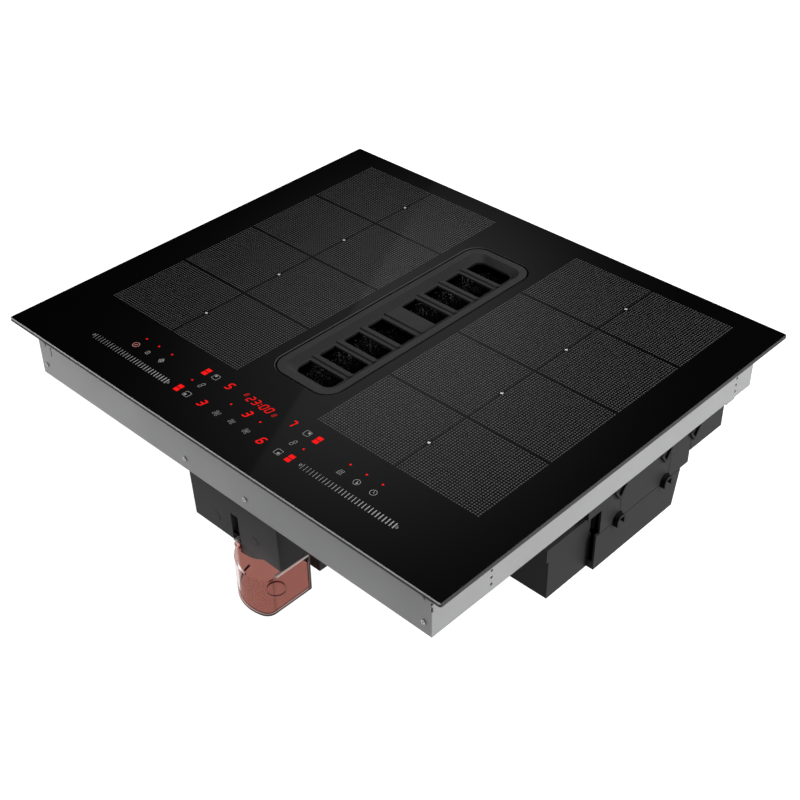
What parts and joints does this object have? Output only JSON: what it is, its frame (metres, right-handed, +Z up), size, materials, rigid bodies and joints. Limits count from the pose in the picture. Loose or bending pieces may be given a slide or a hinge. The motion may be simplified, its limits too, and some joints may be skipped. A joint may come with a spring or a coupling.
{
  "type": "downdraft induction cooktop",
  "caption": "Built-in induction cooktop on a steel tray, with a slotted downdraft intake, blower below and clear drip container.",
  "frame": {"origin": "centre of the glass, on the underside of the seal, which is the worktop's top face", "axes": "+X right along the front edge, +Y to the back, +Z up"},
  "size_m": [0.6, 0.51, 0.1959],
  "materials": {
    "black_glass": "polished, opaque black printed glass",
    "seal_foam": "matt",
    "zinc_sheet": "satin zinc coated",
    "screw_steel": "plated",
    "grille_grey": "fine textured dark grey",
    "filter_steel": "satin",
    "filter_mesh": "expanded metal layers",
    "black_plastic": "finely eroded",
    "clear_brown": "clear, tinted reddish brown",
    "copper": "enamelled copper wire",
    "ferrite": "matt",
    "mica": "pressed mica",
    "aluminium": "mill finish",
    "white_plastic": "moulded",
    "board_green": "solder mask",
    "spring_steel": "spring wire",
    "part_blue": "sleeved components",
    "core_steel": "laminated",
    "lead_grey": "matt sheath"
  },
  "bodies": {
    "cooktop": {"blower_inlet": "black_plastic", "blower_lower_shell": "black_plastic", "blower_scroll": "black_plastic", "blower_upper_shell": "black_plastic", "board_support_left": "white_plastic", "board_support_right": "white_plastic", "cable_gland": "black_plastic", "case_screws": "screw_steel", "coil_left_1": "copper", "coil_left_2": "copper", "coil_left_3": "copper", "coil_left_4": "copper", "coil_plate_left": "aluminium", "coil_plate_right": "aluminium", "coil_right_1": "copper", "coil_right_2": "copper", "coil_right_3": "copper", "coil_right_4": "copper", "coil_sensors": "white_plastic", "control_board": "board_green", "control_carrier": "white_plastic", "cooling_fan_frame_left": "black_plastic", "cooling_fan_frame_right": "black_plastic", "cross_beams": "zinc_sheet", "display_modules": "black_plastic", "fan_control_board": "board_green", "fan_control_box": "black_plastic", "fan_control_lid": "black_plastic", "ferrite_bars": "ferrite", "glass_plate": "black_glass", "glass_rails": "zinc_sheet", "heat_sink_left": "aluminium", "heat_sink_right": "aluminium", "intake_collar": "black_plastic", "intake_funnel": "black_plastic", "mains_harness": "lead_grey", "mica_sheets": "mica", "module_screws": "screw_steel", "motor_bearings": "spring_steel", "motor_bracket": "aluminium", "motor_stator": "core_steel", "outlet_duct": "black_plastic", "plate_springs": "spring_steel", "power_board_left": "board_green", "power_board_right": "board_green", "power_parts": "part_blue", "seal_tape": "seal_foam", "snap_clips": "black_plastic", "suction_box": "black_plastic", "terminal_block": "white_plastic", "touch_springs": "spring_steel", "tray": "zinc_sheet"},
    "grille": {"intake_grille": "grille_grey"},
    "grease_filter": {"filter_frame": "filter_steel", "filter_mesh": "filter_mesh"},
    "container": {"drip_container": "clear_brown"},
    "blower_rotor": {"blower_wheel": "black_plastic", "motor_rotor": "core_steel"},
    "left_fan_rotor": {"cooling_rotor_left": "black_plastic"},
    "right_fan_rotor": {"cooling_rotor_right": "black_plastic"}
  },
  "joints": [
    {"name": "grille_lift", "type": "slide", "parent": "cooktop", "child": "grille", "axis": [0, 0, 1], "range_m": [0, 0.06]},
    {"name": "filter_lift", "type": "slide", "parent": "cooktop", "child": "grease_filter", "axis": [0, 0, 1], "range_m": [0, 0.055]},
    {"name": "container_drop", "type": "slide", "parent": "cooktop", "child": "container", "axis": [0, 0, -1], "range_m": [0, 0.07]},
    {"name": "blower_spin", "type": "hinge", "parent": "cooktop", "child": "blower_rotor", "pos_m": [0.16, 0.086, -0.118], "axis": [1, 0, 0], "continuous": true},
    {"name": "left_fan_spin", "type": "hinge", "parent": "cooktop", "child": "left_fan_rotor", "pos_m": [-0.15635, -0.104, -0.05], "axis": [0, 0, 1], "continuous": true},
    {"name": "right_fan_spin", "type": "hinge", "parent": "cooktop", "child": "right_fan_rotor", "pos_m": [0.15635, -0.104, -0.05], "axis": [0, 0, 1], "continuous": true}
  ],
  "couplings": [
    {"joint": "filter_lift", "follows": "grille_lift", "ratio": 0.85}
  ]
}
